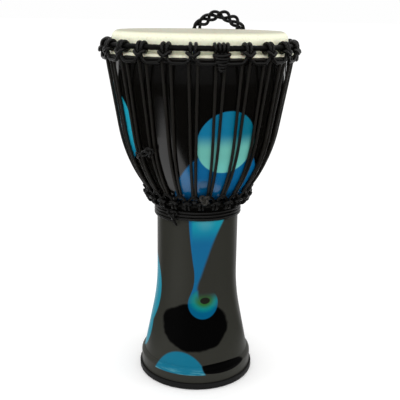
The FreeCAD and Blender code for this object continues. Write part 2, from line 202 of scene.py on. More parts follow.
MIDDLE = (0, 0, 0.35)
soft_light("top light", (0, -0.3, 2.4), MIDDLE, 2.2, 2.2, 2, True)
soft_light("left light", (-2.3, -0.7, 1.0), MIDDLE, 0.9, 1.8, 8)
soft_light("right light", (2.3, -0.5, 1.0), MIDDLE, 0.9, 1.8, 8)
soft_light("front light", (0, -2.6, 1.7), (0, 0, 0.62), 1.6, 0.8, 14, True)
WORLD_LIGHT = 0.99
world = bpy.data.worlds.new("studio")
world.use_nodes = True
world.node_tree.nodes["Background"].inputs["Color"].default_value = (1, 1, 1, 1)
world.node_tree.nodes["Background"].inputs["Strength"].default_value = WORLD_LIGHT
bpy.context.scene.world = world
bpy.context.scene.view_settings.view_transform = "Standard"

# %% [markdown]
# ## A surface from a grid
# Most new pieces are a grid of points: rows along the piece, columns across it. The grid is worked out as
# one array, and its faces follow from counting. That is quicker and more exact than pushing points by hand.

# %% Grids to meshes
def grid_faces(rows, columns, wrap_rows, wrap_columns):
    """Four corners of every cell of a grid, as point numbers and as (row, column) pairs."""
    i, j = np.meshgrid(np.arange(rows if wrap_rows else rows - 1),
                       np.arange(columns if wrap_columns else columns - 1), indexing="ij")
    cells = np.stack([i, j, i, j + 1, i + 1, j + 1, i + 1, j], -1).reshape(-1, 4, 2)
    numbers = (cells[..., 0] % rows) * columns + cells[..., 1] % columns
    return numbers, cells


SAME_PLACE = 1e-6                 # points nearer than this, in metres, are one point


def make_piece(name, grids, body, material):
    """One mesh from several grids. A grid is (points, along, wrap_rows, wrap_columns), and along holds the
    distance of each row, with one more entry when the rows wrap. The UV map holds along and the turn.
    Where a row has shrunk to a point, its points are joined, so that the end is closed."""
    points, faces, uvs = [], [], []
    start = 0
    for grid, along, wrap_rows, wrap_columns in grids:
        rows, columns = grid.shape[:2]
        numbers, cells = grid_faces(rows, columns, wrap_rows, wrap_columns)
        points.append(grid.reshape(-1, 3))
        faces.append(numbers + start)
        uvs.append(np.stack([along[cells[..., 0]], cells[..., 1] / columns], -1).reshape(-1, 2))
        start += rows * columns
    points, faces, uvs = np.concatenate(points), np.concatenate(faces), np.concatenate(uvs)
    mesh = bpy.data.meshes.new(name)
    mesh.vertices.add(len(points))
    mesh.vertices.foreach_set("co", points.astype(np.float32).ravel())
    mesh.loops.add(faces.size)
    mesh.loops.foreach_set("vertex_index", faces.astype(np.int32).ravel())
    mesh.polygons.add(len(faces))
    mesh.polygons.foreach_set("loop_start", np.arange(0, faces.size, 4, dtype=np.int32))
    mesh.update(calc_edges=True)
    mesh.uv_layers.new(name="lay").data.foreach_set("uv", uvs.astype(np.float32).ravel())
    mesh.polygons.foreach_set("use_smooth", np.ones(len(faces), bool))
    if not all(grid[2] for grid in grids):
        work = bmesh.new()
        work.from_mesh(mesh)
        bmesh.ops.remove_doubles(work, verts=work.verts, dist=SAME_PLACE)
        work.to_mesh(mesh)
        work.free()
    mesh.materials.append(material)
    piece = bpy.data.objects.new(name, mesh)
    bpy.context.scene.collection.objects.link(piece)
    if body:
        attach(piece, body)
    print(f"{name}: {len(mesh.polygons)} faces")
    return piece


# %% [markdown]
# ## Rope as a swept surface
# A rope is a round section carried along a line. The line goes through a few chosen points on a smooth
# curve, and is then divided evenly. The section is carried without twisting, so the braid stays straight.

# %% Smooth lines
POINTS_EACH = 16                  # points on each stretch of a curve before it is divided evenly
FINE = 1.3 * MM                   # step along a rope that bends tightly
FINEST = 1.0 * MM                 # step along a small knot


def smooth_line(points, closed=False, step=1.6 * MM):
    """A Catmull-Rom curve through the points: each stretch is a cubic whose slope at a point is half the
    way between that point's neighbours. It is then divided into even steps."""
    points = np.asarray(points, float)
    if closed:
        padded = np.vstack([points[-1], points, points[:2]])
    else:
        padded = np.vstack([2 * points[0] - points[1], points, 2 * points[-1] - points[-2]])
    a, b, c, d = (padded[k:len(padded) - 3 + k, None] for k in range(4))
    t = np.linspace(0, 1, POINTS_EACH, endpoint=False)[None, :, None]
    square, cube = 2 * a - 5 * b + 4 * c - d, 3 * b - a - 3 * c + d
    curve = 0.5 * (2 * b + (c - a) * t + square * t**2 + cube * t**3)
    last = points[:1] if closed else points[-1:]
    return even_line(np.vstack([curve.reshape(-1, 3), last]), step)


def even_line(curve, step):
    """The same line with points at even distances, found by reading it off along its length."""
    reach = np.concatenate([[0], np.cumsum(np.linalg.norm(np.diff(curve, axis=0), axis=1))])
    count = max(4, int(round(reach[-1] / step)))
    at = np.linspace(0, reach[-1], count + 1)
    return np.stack([np.interp(at, reach, curve[:, k]) for k in range(3)], -1)


def carried_frames(line, closed):
    """At each point of a line its direction and two directions across it. The first one across is the
    last point's, less its part along the line, so the section never spins about the rope."""
    ahead = np.roll(line, -1, 0) - np.roll(line, 1, 0)
    if not closed:
        ahead[0], ahead[-1] = line[1] - line[0], line[-1] - line[-2]
    ahead /= np.linalg.norm(ahead, axis=1)[:, None]
    across = np.zeros_like(line)
    now = np.cross(ahead[0], (0.3, 0.2, 0.9))
    for k, direction in enumerate(ahead):
        now = now - direction * (now @ direction)
        now /= np.linalg.norm(now)
        across[k] = now
    if closed:
        home = np.cross(ahead[0], across[0])
        final = now - ahead[0] * (now @ ahead[0])
        slip = math.atan2(final @ home, final @ across[0])
        angle = -slip * np.arange(len(line)) / len(line)
        other = np.cross(ahead, across)
        across = across * np.cos(angle)[:, None] + other * np.sin(angle)[:, None]
    return ahead, across, np.cross(ahead, across)


# %% [markdown]
# A rope's ends are rounded. Its radius follows the outline of a ball over the last radius of its length, so
# the last row of points meets at the tip.

# %% Ropes
CAP_ROWS = 5


def rope_grid(line, radius, closed=False, sides=12):
    """Points = line + radius * (across * cos + other * sin). UV counts turns of its own girth."""
    if closed:
        line = line[:-1]
    else:
        tips = radius * (1 - np.cos(np.linspace(0, math.pi / 2, CAP_ROWS)))
        first = (line[1] - line[0]) / np.linalg.norm(line[1] - line[0])
        last = (line[-1] - line[-2]) / np.linalg.norm(line[-1] - line[-2])
        line = np.vstack([line[0] + first * tips[:, None], line[2:-2], line[-1] - last * tips[::-1, None]])
    ahead, across, other = carried_frames(line, closed)
    width = np.full(len(line), radius)
    if not closed:
        round_off = radius * np.sin(np.linspace(0, math.pi / 2, CAP_ROWS))
        width[:CAP_ROWS], width[-CAP_ROWS:] = round_off, round_off[::-1]
    turn_angle = np.arange(sides) / sides * 2 * math.pi
    section = across[:, None] * np.cos(turn_angle)[:, None] + other[:, None] * np.sin(turn_angle)[:, None]
    grid = line[:, None] + width[:, None, None] * section
    gaps = np.linalg.norm(np.diff(np.vstack([line, line[:1]]), axis=0), axis=1)
    along = np.concatenate([[0], np.cumsum(gaps)]) / (2 * math.pi * radius)
    return grid, along, closed, True


def round_drum(x, out, up, at=0.0, radius=None, height=None):
    """A point near a ring: x along the ring, out from its centre line, up from it, at an angle."""
    radius = CROWN_R if radius is None else radius
    height = CROWN_Z if height is None else height
    angle = np.radians(at) + np.asarray(x, float) / radius
    reach = radius + np.asarray(out, float)
    return np.stack(np.broadcast_arrays(reach * np.sin(angle), -reach * np.cos(angle),
                                        height + np.asarray(up, float)), -1)


# %% [markdown]
# ## Materials by arithmetic
# A pattern is worked out at every point of a surface. The small class below lets nodes be written as sums,
# so a recipe reads like a formula. Patterns use the object's own coordinates or the rope's UV map.

# %% A field that adds and multiplies
class Field:
    """A value at every point of a surface. Sums, products and powers of it are Math nodes."""

    def __init__(self, tree, socket):
        self.tree, self.socket = tree, socket

    def math(self, operation, *others):
        node = self.tree.nodes.new("ShaderNodeMath")
        node.operation = operation
        for slot, value in zip(node.inputs, (self, *others)):
            if isinstance(value, Field):
                self.tree.links.new(value.socket, slot)
            else:
                slot.default_value = value
        return Field(self.tree, node.outputs[0])

    def __add__(self, other):
        return self.math("ADD", other)

    def __sub__(self, other):
        return self.math("SUBTRACT", other)

    def __mul__(self, other):
        return self.math("MULTIPLY", other)

    def __truediv__(self, other):
        return self.math("DIVIDE", other)

    def clip(self):
        return self.math("MAXIMUM", 0.0).math("MINIMUM", 1.0)

    def step(self, start, end):
        """0 before start, 1 after end, smooth between them. start may be the larger one."""
        node = self.tree.nodes.new("ShaderNodeMapRange")
        node.interpolation_type = "SMOOTHSTEP"
        self.tree.links.new(self.socket, node.inputs["Value"])
        node.inputs["From Min"].default_value = min(start, end)
        node.inputs["From Max"].default_value = max(start, end)
        node.inputs["To Min"].default_value = 0.0 if start < end else 1.0
        node.inputs["To Max"].default_value = 1.0 if start < end else 0.0
        return Field(self.tree, node.outputs["Result"])


class Finish:
    """A material under construction: its shader, its coordinates and its colour mixes."""

    def __init__(self, name, **sockets):
        self.material = bpy.data.materials.new(name)
        self.material.use_nodes = True
        self.tree = self.material.node_tree
        self.shader = self.tree.nodes["Principled BSDF"]
        for key, value in sockets.items():
            self.shader.inputs[key.replace("_", " ")].default_value = value

    def split(self, vector):
        node = self.tree.nodes.new("ShaderNodeSeparateXYZ")
        self.tree.links.new(vector, node.inputs[0])
        return [Field(self.tree, socket) for socket in node.outputs]

    def place(self):
        """x, y and z in metres."""
        self.coordinates = self.tree.nodes.new("ShaderNodeTexCoord").outputs["Object"]
        return self.split(self.coordinates)

    def lay(self):
        """Distance along a rope and the turn about it, in its own girths."""
        node = self.tree.nodes.new("ShaderNodeUVMap")
        node.uv_map = "lay"
        return self.split(node.outputs["UV"])[:2]

    def noise(self, scale, detail=3.0, stretch=(1, 1, 1)):
        """Soft random spots. A larger scale makes them smaller, and stretch does so along one axis."""
        node = self.tree.nodes.new("ShaderNodeTexNoise")
        node.inputs["Scale"].default_value = scale
        node.inputs["Detail"].default_value = detail
        mapping = self.tree.nodes.new("ShaderNodeMapping")
        mapping.inputs["Scale"].default_value = stretch
        self.tree.links.new(self.coordinates, mapping.inputs["Vector"])
        self.tree.links.new(mapping.outputs["Vector"], node.inputs["Vector"])
        return Field(self.tree, node.outputs["Fac"])

    def mix(self, share, first, second):
        """A colour between two: share 0 gives the first, 1 the second. Inputs 6 and 7 are its colours."""
        node = self.tree.nodes.new("ShaderNodeMix")
        node.data_type = "RGBA"
        self.tree.links.new(share.socket, node.inputs[0])
        for slot, colour in ((node.inputs[6], first), (node.inputs[7], second)):
            if isinstance(colour, tuple):
                slot.default_value = (*colour, 1)
            else:
                self.tree.links.new(colour, slot)
        return node.outputs[2]

    def colour(self, socket):
        self.tree.links.new(socket, self.shader.inputs["Base Color"])

    def rough(self, field):
        self.tree.links.new(field.socket, self.shader.inputs["Roughness"])

    def bump(self, field, strength, depth):
        """The normal leans as if the surface stood out by the field times the depth."""
        node = self.tree.nodes.new("ShaderNodeBump")
        node.inputs["Strength"].default_value = strength
        node.inputs["Distance"].default_value = depth
        self.tree.links.new(field.socket, node.inputs["Height"])
        self.tree.links.new(node.outputs["Normal"], self.shader.inputs["Normal"])


def tint(red, green, blue):
    """A screen colour of 0 to 255 as the light it stands for."""
    share = np.array([red, green, blue]) / 255
    light = np.where(share <= 0.04045, share / 12.92, ((share + 0.055) / 1.055) ** 2.4)
    return tuple(float(v) for v in light)


# %% [markdown]
# ## Braided rope
# The rope is a tight braid of black yarn. Two families of sloping waves cross on its skin, and the higher
# of the two at each point is the yarn on top. The yarn is dull, with a faint sheen at its edges. The yarn on
# top is painted in a lighter lit colour, a painted highlight.

# %% Rope finish
PLAITS = 4                        # waves round the rope's girth, in each of two slants


def rope_finish(name, body, lit):
    """Yarn = the larger of sine(along + turn) and sine(along - turn). The yarn on top gets the lit colour, a
    painted highlight.
    """
    finish = Finish(name, Specular_IOR_Level=0.2)
    finish.place()
    along, turn_share = finish.lay()
    waves = PLAITS * 2 * math.pi
    one = (along * waves + turn_share * waves).math("SINE")
    two = (along * waves - turn_share * waves).math("SINE")
    yarn = one.math("MAXIMUM", two)
    fuzz = finish.noise(900, 2)
    wear = finish.noise(14, 2)
    # Painted highlight: the yarn on top is mixed towards the lit colour. Fuzz and wear add random tone.
    share = (yarn.step(-0.2, 1.0) * 0.6 + fuzz * 0.25 + wear * 0.25).clip()
    finish.colour(finish.mix(share, body, lit))
    finish.rough(yarn.step(-0.6, 1.0) * -0.12 + 0.42)
    finish.bump(yarn + fuzz * 0.5, 0.55, 0.35 * MM)
    return finish.material


# The second colour of each finish is a painted highlight on the yarn on top.
ROPE_FINISH = rope_finish("black braided rope", tint(0, 0, 0), tint(13, 12, 10))
# Painted light: the legs' lit colour is lighter still, for the light that falls on them.
LEG_FINISH = rope_finish("black leg rope, painted lit", tint(4, 3, 3), tint(30, 28, 24))
HANDLE_FINISH = rope_finish("black handle rope", tint(0, 0, 0), tint(12, 11, 10))

# %% [markdown]
# ## The shell
# The shell is moulded and then lacquered black. Its decoration is printed under the lacquer, so it has no
# edge to feel. Discs on the surface are found from the angle about the drum, the radius and the height.

# %% Lacquer
SHELL = Finish("black lacquer with print", Roughness=0.17)
shell_x, shell_y, shell_z = SHELL.place()
shell_angle = shell_x.math("ARCTAN2", shell_y * -1.0)
shell_reach = (shell_x * shell_x + shell_y * shell_y).math("SQRT")
wobble = (SHELL.noise(34, 2) - 0.5) * 0.16


def oval(angle, height, half_width, half_height, soft=0.03, uneven=0.0):
    """1 inside an oval printed round the shell, 0 outside. Its sizes are measured along the surface."""
    side = (shell_angle - math.radians(angle)) * shell_reach / (half_width * MM)
    rise = (shell_z - height * MM) / (half_height * MM)
    reach = (side * side + rise * rise).math("SQRT")
    if uneven:
        reach = reach + wobble * uneven
    return reach.step(1 + soft, 1 - soft)


def across(angle, start, end):
    """A soft change from 0 to 1 along the surface, in millimetres from an angle."""
    return ((shell_angle - math.radians(angle)) * shell_reach).step(start * MM, end * MM)


def upward(start, end):
    """A soft change from 0 to 1 between two heights in millimetres."""
    return shell_z.step(start * MM, end * MM)


BLACK = tint(7, 6, 5)
CHARCOAL_AND_REFLECTION = tint(41, 41, 36)
DEEPEST = tint(2, 2, 2)
BLUE = tint(0, 86, 127)
DEEP_BLUE = tint(0, 60, 98)
TEAL = tint(0, 128, 146)
MINT = tint(92, 162, 152)
GREEN = tint(38, 92, 44)
SKY = tint(26, 142, 164)
mix = SHELL.mix
# Painted reflection: below the bowl the shell turns charcoal, partly the stem's own grey, partly the pale
# floor it mirrors.
charcoal_and_reflection = upward(332, 304)
night = oval(-1.5, 112, 66, 44, 0.05, 1.5)
paint = mix(charcoal_and_reflection, BLACK, CHARCOAL_AND_REFLECTION)
paint = mix(night, paint, DEEPEST)

# %% Discs on the bowl
side_disc = oval(-79, 478, 68, 68)
paint = mix(side_disc, paint, mix(upward(400, 470), BLUE, SKY))
low_disc = oval(21.5, 378, 76, 76) * upward(351, 354)
paint = mix(low_disc, paint, mix(upward(345, 410), DEEP_BLUE, tint(0, 84, 130)))
small_disc = oval(5.6, 384, 10, 10, 0.1)
paint = mix(small_disc, paint, tint(0, 64, 100))
sun = mix(across(21, -30, 40), tint(0, 102, 138), tint(0, 92, 114))
sun = mix(upward(478, 448), sun, mix(upward(440, 412), MINT, tint(96, 172, 164)))
paint = mix(oval(20.6, 461, 52, 53, 0.02), paint, sun)

# %% [markdown]
# The print on the stem is a drip that runs down into a curl. The drip's two edges are curves: at each
# height, a place to the left and one to the right of the front.

# %% Drip
BOW_SPAN = 200                    # millimetres that a curve's 0 to 1 stands for


def bow(heights, places):
    """A boundary drawn through a few heights: the place along the surface at each, joined smoothly."""
    node = SHELL.tree.nodes.new("ShaderNodeFloatCurve")
    curve = node.mapping.curves[0]
    low, high = heights[0], heights[-1]
    for k, (height, place) in enumerate(zip(heights, places)):
        at = ((height - low) / (high - low), place / BOW_SPAN + 0.5)
        if k in (0, len(heights) - 1):
            curve.points[0 if k == 0 else -1].location = at
        else:
            curve.points.new(*at)
    node.mapping.update()
    share = (shell_z / MM - low) / (high - low)
    SHELL.tree.links.new(share.clip().socket, node.inputs["Value"])
    return (Field(SHELL.tree, node.outputs[0]) - 0.5) * (BOW_SPAN * MM)


along_front = shell_angle * shell_reach
BOW_HEIGHTS = (155, 165, 175, 187, 210, 238, 266, 290, 312)
left_bow = bow(BOW_HEIGHTS, (-15, -13.5, -10, -6, -4, -7.5, -11, -13.5, -15))
right_bow = bow(BOW_HEIGHTS, (9, 4, 2, 1, 8, 17, 27, 38, 51))
right_of_left = (along_front - left_bow).step(-0.8 * MM, 0.8 * MM)
left_of_right = (along_front - right_bow).step(3.5 * MM, -2.5 * MM)
drip = right_of_left * left_of_right * upward(154, 156) * upward(316, 309)
drip_paint = mix(upward(266, 312), BLUE, TEAL)
drip_paint = mix(oval(11, 312, 13, 14, 0.8) * 0.12, drip_paint, tint(150, 178, 170))
drip_paint = mix(across(0, -6, -13) * upward(230, 260), drip_paint, tint(0, 90, 134))
paint = mix(drip, paint, drip_paint)

# %% Curl
def disc_reach(middle, height, half_width, half_height):
    """0 at the middle of an oval in front, 1 on its outline: the root of the two shares' squares."""
    side = (along_front - middle * MM) / (half_width * MM)
    rise = (shell_z - height * MM) / (half_height * MM)
    return (side * side + rise * rise).math("SQRT")


curl = disc_reach(13, 156, 28, 28).step(1.04, 0.96)
notch = disc_reach(16, 162, 9, 6).step(1.1, 0.9)
opening = along_front.step(-2 * MM, 6 * MM) * upward(158, 178)
glow = disc_reach(15, 163, 1.25, 1)
curl_paint = mix(glow.step(8, 18), GREEN, tint(8, 112, 112))
curl_paint = mix(glow.step(15, 26), curl_paint, tint(0, 78, 112))
curl = curl * (notch * -1.0 + 1.0) * (opening * -1.0 + 1.0)
paint = mix(curl, paint, curl_paint)
paint = mix(notch * 0.8, paint, tint(14, 17, 8))

# %% Foot and side
strip = oval(-86, 158, 36, 74, 0.03).math("MAXIMUM", oval(-86, 84, 28, 42, 0.04))
paint = mix(strip, paint, mix(across(-84, 10, -30), tint(14, 124, 146), tint(66, 124, 132)))
foot_disc = oval(-17.5, -40, 66, 107, 0.02) * upward(27, 28.5)
# Painted reflection: pale curved streaks low on the foot disc, where its shoulder mirrors the light.
reflection_streaks = (SHELL.noise(46, 4, (1, 1, 9)) - 0.46).step(0, 0.2) * upward(44, 28) * 0.4
paint = mix(foot_disc, paint, mix(reflection_streaks, tint(0, 98, 124), tint(110, 175, 180)))
# Painted reflection: a black crescent where the foot's shoulder mirrors the dark above it.
dark_reflection_crescent = oval(30, 37, 52, 9, 0.08)
dark_reflection_crescent = dark_reflection_crescent * (foot_disc * -1.0 + 1.0)
paint = mix(dark_reflection_crescent, paint, tint(1, 1, 1))
SHELL.colour(paint)

# %% Gloss
gloss = night.math("MAXIMUM", dark_reflection_crescent) * -0.10 + upward(330, 400) * 0.40 + 0.12
SHELL.tree.links.new(gloss.socket, SHELL.shader.inputs["Specular IOR Level"])
smears = SHELL.noise(7, 4, (1, 1, 0.4))
SHELL.rough(smears * 0.10 + upward(350, 310) * 0.24 + 0.12)
SHELL.bump(SHELL.noise(26, 2), 0.10, 0.6 * MM)
# The crescent among the ten shapes is a painted reflection, not print.
print("shell: lacquer over ten printed shapes")

# %% [markdown]
# ## Other plain parts
# The foot is dipped in rubber, so it has a fine grain. The rings and the hoop are bare steel rod. The CAD
# pieces have the right shape already, so they only get a finish.

# %% Rubber and steel
RUBBER = Finish("foot rubber", Specular_IOR_Level=0.12)
RUBBER.place()
grain = RUBBER.noise(420, 3)
RUBBER.colour(RUBBER.mix(grain, tint(7, 7, 7), tint(18, 18, 18)))
RUBBER.rough(grain * 0.2 + 0.45)
RUBBER.bump(grain, 0.3, 0.3 * MM)

STEEL = Finish("rod steel", Metallic=0.9)
STEEL.place()
brushed = STEEL.noise(60, 4, (1, 1, 12))
STEEL.colour(STEEL.mix(brushed, tint(70, 70, 72), tint(120, 120, 122)))
STEEL.rough(brushed * 0.25 + 0.25)

CLOTH = Finish("ring cloth", Specular_IOR_Level=0.08)
CLOTH.place()
cloth_along, cloth_turn = CLOTH.lay()
one_way = (cloth_along * 130.0 + cloth_turn * 40.0).math("SINE")
other_way = (cloth_along * 130.0 - cloth_turn * 40.0).math("SINE")
thread = one_way.math("MAXIMUM", other_way)
dust = CLOTH.noise(40, 3)
CLOTH.colour(CLOTH.mix((thread * 0.3 + dust * 0.5).clip(), tint(2, 2, 2), tint(17, 16, 14)))
CLOTH.rough(dust * 0.15 + 0.45)
CLOTH.bump(thread, 0.35, 0.2 * MM)

for node, finish in (("drum_shell", SHELL), ("foot_ring", RUBBER), ("crown_ring", STEEL),
                     ("flesh_hoop", STEEL), ("bottom_ring", STEEL)):
    NODES[node].data.materials.clear()
    NODES[node].data.materials.append(finish.material)

# %% [markdown]
# ## The skin
# A goat skin is soaked, laid over the rim and drawn down by its hoop. It dries flat and tight. Where the
# loops pull, the collar below the edge shows faint upright ripples. The skin is thin, so both faces are
# made. Below a set height it is coloured near black, so that only cream shows in the windows between the
# loops.

# %% Skin
EDGE = 13 * MM
COLLAR_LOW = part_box("drum_skin")[0].z
THICK = 0.75 * MM
OUTER_INSET = 0.05 * MM           # the outer face is this far inside the CAD skin's
RIPPLE = 0.25 * MM                # half of the ripples' greatest depth
FLAT_ROWS, BEND_ROWS, DOWN_ROWS = 34, 12, 11


def skin_profile(inset):
    """Radius and height from the middle of the head, round the edge and down the collar."""
    flat = np.linspace(0, RIM_R - EDGE, FLAT_ROWS)
    bend = np.linspace(0, math.pi / 2, BEND_ROWS + 1)[1:]
    corner_r = RIM_R - EDGE + (EDGE - inset) * np.sin(bend)
    corner_z = TOP_Z - EDGE + (EDGE - inset) * np.cos(bend)
    down = np.linspace(TOP_Z - EDGE, COLLAR_LOW, DOWN_ROWS + 1)[1:]
    radius = np.concatenate([flat, corner_r, np.full(DOWN_ROWS, RIM_R - inset)])
    return radius, np.concatenate([np.full(FLAT_ROWS, TOP_Z - inset), corner_z, down])


def skin_grid(columns=480):
    """The outer profile down and the inner one back, turned about the axis. The ripple is a cosine of the
    angle that starts below the edge and grows towards the collar's end."""
    outer_r, outer_z = skin_profile(OUTER_INSET)
    inner_r, inner_z = skin_profile(THICK)
    radius = np.concatenate([outer_r, inner_r[::-1]])[:, None]
    height = np.concatenate([outer_z, inner_z[::-1]])[:, None]
    angle = np.arange(columns)[None] / columns * 2 * math.pi
    growth = np.clip((TOP_Z - EDGE - height) / (30 * MM), 0, 1)
    ripple = -RIPPLE * growth * (1 - np.cos(HITCHES * (angle - math.radians(KNOT_AT))))
    reach = radius + ripple
    height_all = np.broadcast_to(height, reach.shape)
    grid = np.stack([reach * np.sin(angle), -reach * np.cos(angle), height_all], -1)
    steps = np.hypot(np.diff(radius[:, 0]), np.diff(height[:, 0]))
    return grid[:, ::-1], np.concatenate([[0], np.cumsum(steps)]), False, True


# %% Skin finish
SKIN = Finish("goat skin", Specular_IOR_Level=0.35, Subsurface_Weight=0.08, Subsurface_Scale=0.004)
skin_x, skin_y, skin_z = SKIN.place()
cloud = SKIN.noise(7, 5)
pores = SKIN.noise(260, 3)
skin_reach = (skin_x * skin_x + skin_y * skin_y).math("SQRT")
# The rim is painted lighter: partly the skin's own yellowish rim, partly painted light on the rounded edge.
rim_tone_and_light = skin_reach.step(0.142, 0.1505)
hide = SKIN.mix(cloud.step(0.35, 0.75), tint(184, 181, 159), tint(172, 169, 148))
hide = SKIN.mix(rim_tone_and_light * 0.9, hide, tint(246, 244, 218))
hide = SKIN.mix(pores.step(0.5, 0.75) * 0.25, hide, tint(190, 180, 155))
DARK_FROM_Z = 596.8 * MM               # below this height the collar is blackened
DARK_SOFT = 0.4 * MM
hide = SKIN.mix(skin_z.step(DARK_FROM_Z + DARK_SOFT, DARK_FROM_Z - DARK_SOFT), hide, tint(9, 9, 8))
SKIN.colour(hide)
SKIN.rough(cloud * 0.2 + 0.42)
SKIN.bump(pores + cloud, 0.15, 0.3 * MM)
skin = make_piece("skin_head", [skin_grid()], "root", SKIN.material)
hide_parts("drum_skin")

# %% [markdown]
# The rest of the skin is rolled round its hoop. One function makes this roll and the cloth on both rings.

# %% Skin roll
WANDER = 0.6                      # radians by which the spiral strays, three times in a round


def wrapped_ring(radius, height, section, ridges, rise, rows=720, columns=20):
    """A ring whose section swells and sinks along a spiral, as wound cloth does: the section's radius is
    section + rise * wave(ridges * angle + turn)."""
    angle = np.arange(rows)[:, None] / rows * 2 * math.pi
    around = np.arange(columns)[None] / columns * 2 * math.pi
    phase = (ridges * angle + around + WANDER * np.sin(3 * angle)) / (2 * math.pi)
    wave = np.abs(phase % 1 - 0.5) * 2
    thick = section - rise * wave**3
    reach = radius + thick * np.cos(around)
    grid = np.stack([reach * np.sin(angle), -reach * np.cos(angle), height + thick * np.sin(around)], -1)
    return grid[:, ::-1], np.arange(rows + 1) / rows * radius * 2 * math.pi, True, True


roll = make_piece("skin_roll", [wrapped_ring(FOLD_R, FOLD_Z, FOLD_ROD, HITCHES, 0.35 * MM)],
                  "head_rings", SKIN.material)
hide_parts("skin_fold")

# %% [markdown]
# ## Cloth round the rings
# A strip of black cloth is wound round the steel before the loops go on. It keeps rope off bare metal, and
# its edge makes a shallow spiral ridge.

# %% Ring wraps
crown = make_piece("crown_wrap", [wrapped_ring(CROWN_R, CROWN_Z, CROWN_ROD, 96, 0.45 * MM, rows=1440)],
                   "head_rings", CLOTH.material)
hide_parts("crown_ring_wrap")
low_wrap = make_piece("low_wrap", [wrapped_ring(LOW_R, LOW_Z, LOW_ROD, 60, 0.35 * MM, rows=900)],
                      "root", CLOTH.material)
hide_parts("bottom_ring_wrap")

# %% [markdown]
# ## The loops on the crown ring
# One long rope makes every loop. At each place it climbs the front of the ring, goes over and under it,
# crosses in front of itself, and goes round once more: a cow hitch. Between two hitches it hangs as a loop.
# Half of a hitch is written down, and its other half is the mirror image.

# %% Upper rope
HALF_HITCH = np.array([               # along the ring, out from it, up from it, in millimetres
    (-13, 6.2, -22.9), (-9.4, 6.5, -21.7), (-6.4, 6.7, -18.4), (-3.3, 6.3, -14.4), (-2.7, 6.8, -8.5),
    (-3.6, 7.2, -1), (-4.1, 5, 5), (-4.2, 0, 7.2), (-4.3, -5.4, 4.5), (-4.7, -7.0, -1), (-5.6, -4.8, -5.6),
    (-7.4, 1, -7.7), (-8.9, 6.6, -6.0), (-6.8, 10.0, -7.6), (0, 11.3, -11.8)]) * MM
UPPER_ROPE = 2.7 * MM
LOOP_MIDDLE = (6.0 * MM, -22.8 * MM)
LOOSE = np.random.default_rng(4)      # small differences between hand-tied hitches
SHIFT = 0.22 * MM                     # the usual size of one


def mirrored(half):
    """A half hitch and its mirror image, with the middle point once."""
    return np.vstack([half, half[-2::-1] * (-1, 1, 1)])


def hitch_row(half, angles, radius, height, flip, mid_out, mid_up, step_angle):
    """Points of one rope through hitches at the given angles, with a loop's middle after each of them."""
    points = []
    for angle in angles:
        shake = LOOSE.normal(0, SHIFT, (2 * len(half) - 1, 3)) * (1, 0.3, 1)
        hitch = mirrored(half) + shake
        points.append(round_drum(hitch[:, 0], hitch[:, 1], flip * hitch[:, 2], angle, radius, height))
        middle = np.array([step_angle / 2])
        points.append(round_drum(0 * middle, mid_out, flip * mid_up, angle + middle, radius, height))
    return np.vstack(points)


hitch_places = KNOT_AT + PITCH * np.arange(1, HITCHES)
row = hitch_row(HALF_HITCH, hitch_places, CROWN_R, CROWN_Z, 1, *LOOP_MIDDLE, PITCH)
start_mm = np.array([(1.5, 5.6, -18.5), (6, 5.9, -20.5), (12, 6.0, -22.8)]) * MM
start_run = round_drum(start_mm[:, 0], start_mm[:, 1], start_mm[:, 2], KNOT_AT)
first_mid = round_drum([0.0], LOOP_MIDDLE[0], LOOP_MIDDLE[1], KNOT_AT + PITCH / 2)
end_run = round_drum(-start_mm[::-1, 0], start_mm[::-1, 1], start_mm[::-1, 2], KNOT_AT)
upper_line = smooth_line(np.vstack([start_run, first_mid, row, end_run]), step=FINE)
upper = make_piece("upper_rope", [rope_grid(upper_line, UPPER_ROPE)], "head_rings", ROPE_FINISH)
print(f"upper rope: {len(upper_line) * FINE:.1f} m")

# %% [markdown]
# ## The joining knot
# Here both ends of the upper rope meet. They are wound over the ring four times and then down round the
# two loops, in bands that grow narrower. Each band sags a little at its middle, like a smile.

# %% Joining knot
KNOT_TURNS = (-10.2, -3.4, 3.4, 10.2)
TURN_R = 7.1                      # from the ring's line to the rope's line, in millimetres
BAND_WIDTHS = (29.0, 26.5, 22.5, 17.0, 15.5, 13.5)
BAND_TOP = -9.2
BAND_STEP = 4.4
BAND_SAG = 2.0
CORE = np.array([(0, 7, -8), (0, 5.8, -18), (0, 4.8, -26), (0, 4.6, -32)])
CORE_SIDE = 2.4                   # the two ends lie this far each side of the middle
turn_share = np.arange(10) / 10 * 2 * math.pi
front = np.sin(turn_share)
knot_grids = []
for x in KNOT_TURNS:
    bend_x = x * MM * (1 - 0.10 * (1 - np.cos(turn_share)))
    loop = round_drum(bend_x, TURN_R * MM * front, TURN_R * MM * np.cos(turn_share), KNOT_AT)
    knot_grids.append(rope_grid(smooth_line(loop, closed=True, step=FINE), ROPE, closed=True))
for k, width in enumerate(BAND_WIDTHS):
    half = (width / 2 - 2.5) * MM
    out = (6.6 + 3.6 * front - 0.25 * k) * MM
    sag = (1 - np.cos(turn_share)**2) * np.sign(front) * BAND_SAG * MM
    up = (BAND_TOP - BAND_STEP * k) * MM - sag
    tilt = 0.6 * MM * np.cos(turn_share) * (-1) ** k
    loop = round_drum(half * np.cos(turn_share), out, up + tilt, KNOT_AT)
    knot_grids.append(rope_grid(smooth_line(loop, closed=True, step=FINE), ROPE, closed=True))
for side in (-1, 1):
    core = CORE * MM + (side * CORE_SIDE * MM, 0, 0)
    core_line = smooth_line(round_drum(core[:, 0], core[:, 1], core[:, 2], KNOT_AT))
    knot_grids.append(rope_grid(core_line, ROPE))
knot_piece = make_piece("joining_wrap", knot_grids, "head_rings", ROPE_FINISH)
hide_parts("top_hitches", "top_loops")
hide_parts("joining_knot")

